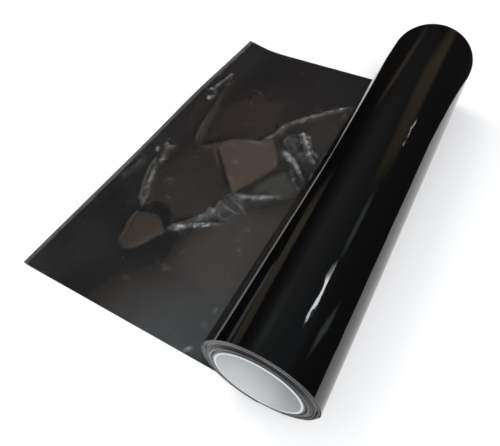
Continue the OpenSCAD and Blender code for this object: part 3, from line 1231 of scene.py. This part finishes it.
def makeGlow(name):
    # glows for a ray that has met something glossy, and lets every other ray through
    material = bpy.data.materials.new(name)
    material.use_nodes = True
    material.node_tree.nodes.clear()
    ray = addNode(material, "ShaderNodeLightPath")
    mirrored = addNode(material, "ShaderNodeMath", operation="GREATER_THAN")
    join(material, ray.outputs["Glossy Depth"], mirrored.inputs[0])
    clear = addNode(material, "ShaderNodeBsdfTransparent")
    glow = addNode(material, "ShaderNodeEmission", Strength=1.0)
    choose = addNode(material, "ShaderNodeMixShader")
    join(material, mirrored.outputs["Value"], choose.inputs["Fac"])
    join(material, clear.outputs["BSDF"], choose.inputs[1])
    join(material, glow.outputs["Emission"], choose.inputs[2])
    output = addNode(material, "ShaderNodeOutputMaterial")
    join(material, choose.outputs["Shader"], output.inputs["Surface"])
    return material, glow, mirrored.outputs["Value"], choose.inputs["Fac"]


def onlyMirrored(piece):
    piece.visible_camera = False
    piece.visible_diffuse = False
    piece.visible_shadow = False


def makeRoom():
    bm = bmesh.new()
    around, up = studio["roomSegments"]
    bmesh.ops.create_uvsphere(bm, u_segments=around, v_segments=up, radius=studio["roomRadius"])
    material, glow = makeGlow("roomGlow")[:2]
    split = addNode(material, "ShaderNodeSeparateXYZ")
    join(material, objectCoords(material), split.inputs["Vector"])
    ramp = addNode(material, "ShaderNodeValToRGB")
    ramp.color_ramp.elements[0].color = (*studio["roomLow"], 1)
    ramp.color_ramp.elements[1].color = (*studio["roomTop"], 1)
    ramp.color_ramp.elements.new(studio["middleAt"]).color = (*studio["roomMiddle"], 1)
    join(material, spread(material, split.outputs["Z"], 0, 1, 0, studio["roomRadius"]), ramp.inputs["Fac"])
    away = addNode(material, "ShaderNodeVectorMath", operation="DISTANCE")
    join(material, objectCoords(material), away.inputs[0])
    away.inputs[1].default_value = studio["patchPlace"]
    patched = addNode(material, "ShaderNodeMix", data_type="RGBA")
    nearness = spread(material, away.outputs["Value"], 1, 0, 0, studio["patchReach"])
    join(material, nearness, patched.inputs["Factor"])
    join(material, ramp.outputs["Color"], patched.inputs["A"])
    patched.inputs["B"].default_value = (*studio["patchGlow"], 1)
    join(material, patched.outputs["Result"], glow.inputs["Color"])
    dim = spread(material, split.outputs["X"], studio["darkest"], 1, *studio["darkSide"])
    join(material, dim, glow.inputs["Strength"])
    onlyMirrored(addStage("studioRoom", bm, material))


def makePanel(name, panel):
    start, end = Vector(panel["from"]), Vector(panel["to"])
    middle = (start + end) / 2
    along = (end - start).normalized()
    facing = -middle.normalized()
    side = along.cross(facing).normalized()
    bm = bmesh.new()
    bm.loops.layers.uv.new()
    bmesh.ops.create_grid(bm, x_segments=1, y_segments=1, size=0.5, calc_uvs=True)
    bmesh.ops.scale(bm, verts=list(bm.verts), vec=((end - start).length, panel["width"], 1))
    turning = Matrix((along, side, along.cross(side))).transposed()
    bmesh.ops.rotate(bm, verts=list(bm.verts), cent=(0, 0, 0), matrix=turning)
    bmesh.ops.translate(bm, verts=list(bm.verts), vec=middle)
    material, glow, mirrored, fade = makeGlow(name + "Glow")
    glow.inputs["Color"].default_value = (*panel["glow"], 1)
    split = addNode(material, "ShaderNodeSeparateXYZ")
    join(material, addNode(material, "ShaderNodeTexCoord").outputs["UV"], split.inputs["Vector"])
    lengthways = softShare(material, split.outputs["X"], panel["soft"])
    sideways = softShare(material, split.outputs["Y"], panel["soft"])
    join(material, product(material, product(material, lengthways, sideways), mirrored), fade)
    onlyMirrored(addStage(name, bm, material))


viewpoint = {
    "sensorWidth": 36,
    "lens": 32.57,
    "shift": (0.0307, -0.0043),
    "clipStart": 0.01,
    "place": (0.0572, -0.3648, 0.3633),
    "turn": (38.629, 1.999, 29.908),     # in degrees
}


def makeCamera():
    data = bpy.data.cameras.new("studioCamera")
    data.sensor_width = viewpoint["sensorWidth"]
    data.lens = viewpoint["lens"]
    data.shift_x, data.shift_y = viewpoint["shift"]
    data.clip_start = viewpoint["clipStart"]
    camera = bpy.data.objects.new("studioCamera", data)
    bpy.context.scene.collection.objects.link(camera)
    camera.location = viewpoint["place"]
    camera.rotation_euler = Euler([radians(a) for a in viewpoint["turn"]], "XYZ")
    bpy.context.scene.camera = camera


makeFloor()
makeWorld()
addAreaLight("softKey", studio["keyPlace"], studio["keyEnergy"])
addAreaLight("softFill", studio["fillPlace"], studio["fillEnergy"])
makeRoom()
for panelName, panelShape in panels.items():
    makePanel(panelName, panelShape)
makeCamera()
bpy.context.scene.view_settings.view_transform = "Standard"
print("studio made")
